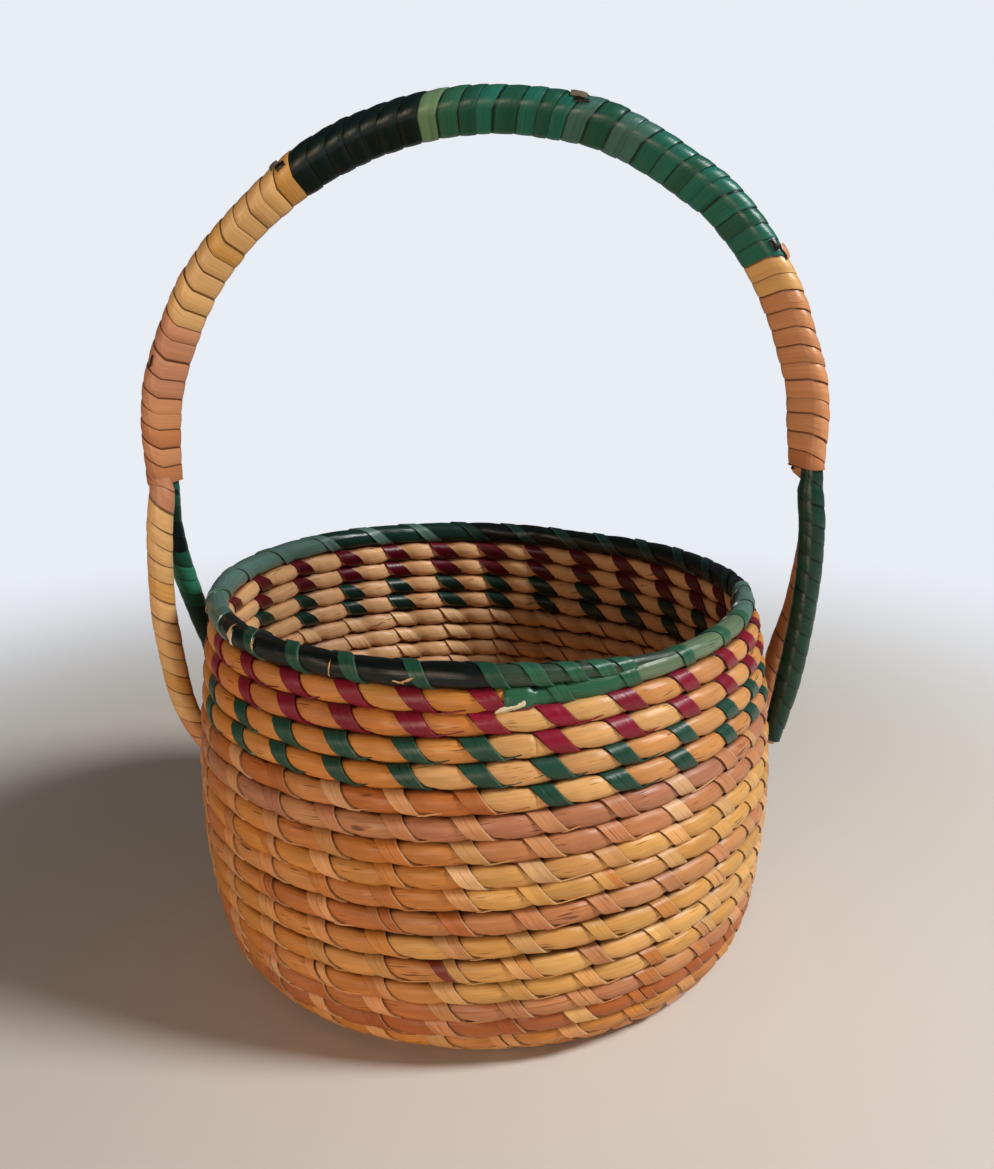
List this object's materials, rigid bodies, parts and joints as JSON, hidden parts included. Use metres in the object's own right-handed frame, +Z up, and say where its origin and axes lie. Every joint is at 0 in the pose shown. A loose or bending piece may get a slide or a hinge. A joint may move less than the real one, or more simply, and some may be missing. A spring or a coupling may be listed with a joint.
{
  "type": "coiled basket with arch handle",
  "caption": "Round coiled straw basket with a wide open mouth, a lapped green rim, stitched colour rows and a tall wrapped arch handle on splayed legs.",
  "frame": {"origin": "on the standing plane, midway between the sides of the whole part's box", "axes": "+Z up, X along the handle's span, -Y towards the side seen in the picture"},
  "size_m": [0.2906, 0.2467, 0.3569],
  "materials": {
    "base_coil": "satin dried leaf over a straw bundle",
    "base_start_knot": "satin dried leaf, folded",
    "wall_coil_natural": "satin dried leaf over a straw bundle",
    "wall_coil_green_band": "satin dried leaf with dyed green stitches",
    "wall_coil_maroon_band": "satin dried leaf with dyed maroon stitches",
    "rim_coil": "satin dyed leaf over a straw bundle",
    "handle_rod_front": "matt straw bundle",
    "handle_rod_rear": "matt straw bundle",
    "arch_wrap_left_lower": "satin dried leaf strip",
    "arch_wrap_left_upper": "satin dried leaf strip",
    "arch_wrap_dark_green": "satin dyed leaf strip",
    "arch_wrap_middle_green": "satin dyed leaf strip",
    "arch_wrap_teal_green": "glossy dyed leaf strip",
    "arch_wrap_right_upper": "satin dried leaf strip",
    "arch_wrap_right_lower": "satin dried leaf strip",
    "leg_wrap_front_left": "satin dried leaf strip",
    "leg_wrap_rear_left": "satin dyed leaf strip",
    "leg_wrap_front_right": "satin dyed leaf strip",
    "leg_wrap_rear_right": "satin dried leaf strip"
  },
  "bodies": {
    "root": {"base_coil": "base_coil", "base_start_knot": "base_start_knot", "wall_coil_natural": "wall_coil_natural", "wall_coil_green_band": "wall_coil_green_band", "wall_coil_maroon_band": "wall_coil_maroon_band", "rim_coil": "rim_coil", "handle_rod_front": "handle_rod_front", "handle_rod_rear": "handle_rod_rear", "arch_wrap_left_lower": "arch_wrap_left_lower", "arch_wrap_left_upper": "arch_wrap_left_upper", "arch_wrap_dark_green": "arch_wrap_dark_green", "arch_wrap_middle_green": "arch_wrap_middle_green", "arch_wrap_teal_green": "arch_wrap_teal_green", "arch_wrap_right_upper": "arch_wrap_right_upper", "arch_wrap_right_lower": "arch_wrap_right_lower", "leg_wrap_front_left": "leg_wrap_front_left", "leg_wrap_rear_left": "leg_wrap_rear_left", "leg_wrap_front_right": "leg_wrap_front_right", "leg_wrap_rear_right": "leg_wrap_rear_right"}
  },
  "joints": []
}
